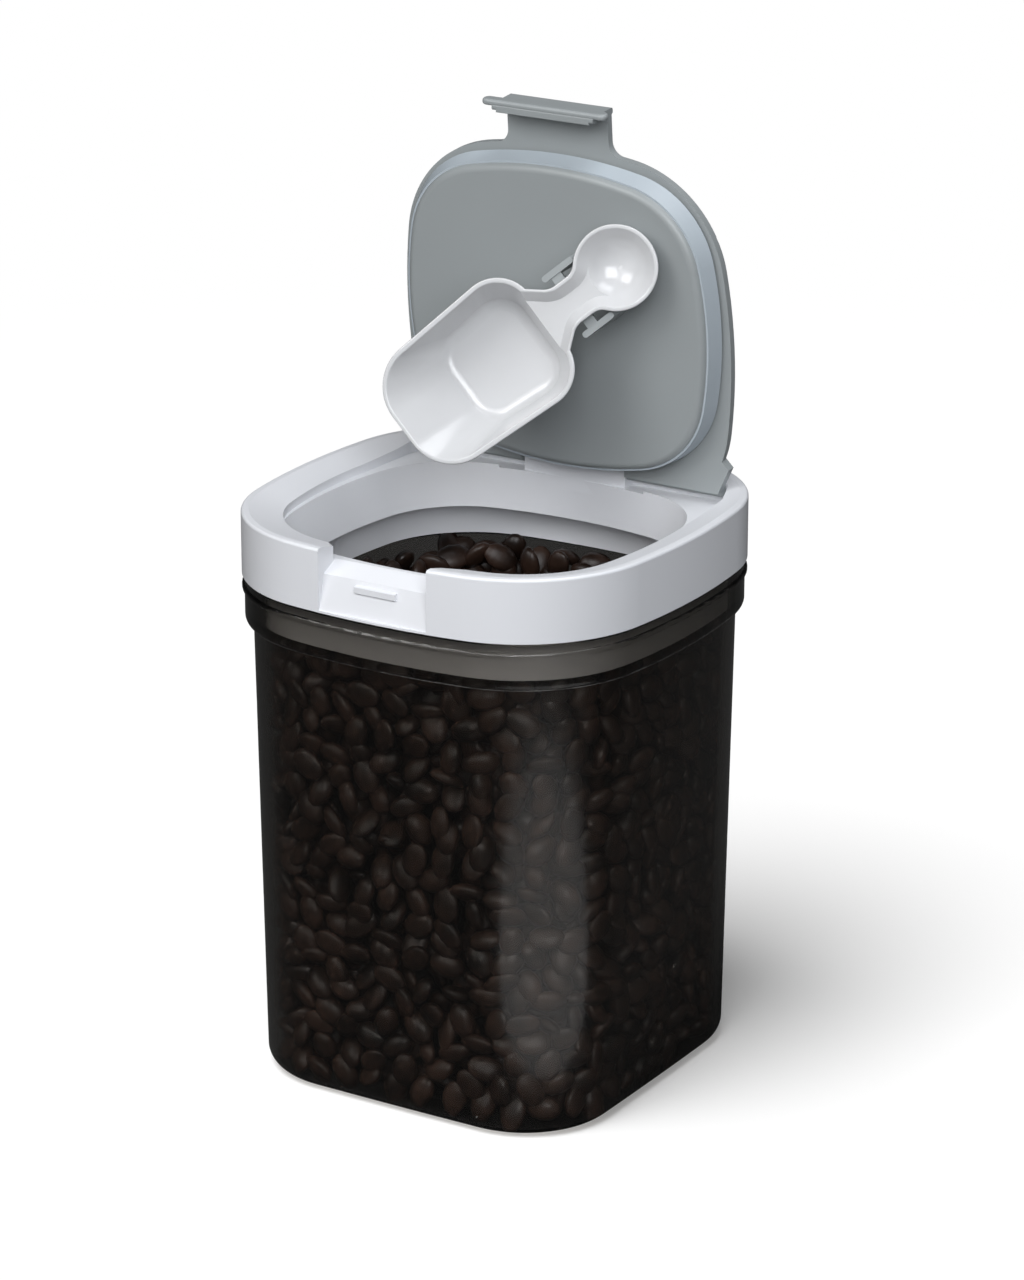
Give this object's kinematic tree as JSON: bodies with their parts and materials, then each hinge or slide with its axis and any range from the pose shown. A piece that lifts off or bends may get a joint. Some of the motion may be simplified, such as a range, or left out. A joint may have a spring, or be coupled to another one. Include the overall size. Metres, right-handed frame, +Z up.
{
  "type": "coffee canister",
  "caption": "Square storage canister: smoky tapered tub, white collar, hinged lid with hook catch and soft seal, and a two-ended scoop held under the lid.",
  "frame": {"origin": "middle of the base, on the surface that the canister stands on", "axes": "+Z up, -Y towards the catch at the front, +Y towards the hinge"},
  "size_m": [0.124, 0.124, 0.2639],
  "materials": {
    "smoky_clear": "polished, clear with a dark smoky tint",
    "white_shell": "smooth moulded satin",
    "grey_lid": "smooth moulded satin",
    "soft_seal": "soft, slightly clear",
    "white_scoop": "smooth moulded gloss",
    "pin_steel": "bright"
  },
  "bodies": {
    "container": {"container_body": "smoky_clear"},
    "collar": {"collar": "white_shell", "neck_seal": "soft_seal", "hinge_pin_left": "pin_steel", "hinge_pin_right": "pin_steel"},
    "lid": {"lid_shell": "grey_lid", "lid_plug": "grey_lid", "lid_seal": "soft_seal"},
    "scoop": {"scoop": "white_scoop"}
  },
  "joints": [
    {"name": "collar_lift", "type": "slide", "parent": "container", "child": "collar", "axis": [0, 0, 1], "range_m": [0, 0.03]},
    {"name": "lid_hinge", "type": "hinge", "parent": "collar", "child": "lid", "pos_m": [0, 0.043, 0.1586], "axis": [1, 0, 0], "range_deg": [0, 85]},
    {"name": "scoop_pull", "type": "slide", "parent": "lid", "child": "scoop", "axis": [0.3303, -0.9205, 0.2087], "range_m": [0, 0.03]}
  ]
}
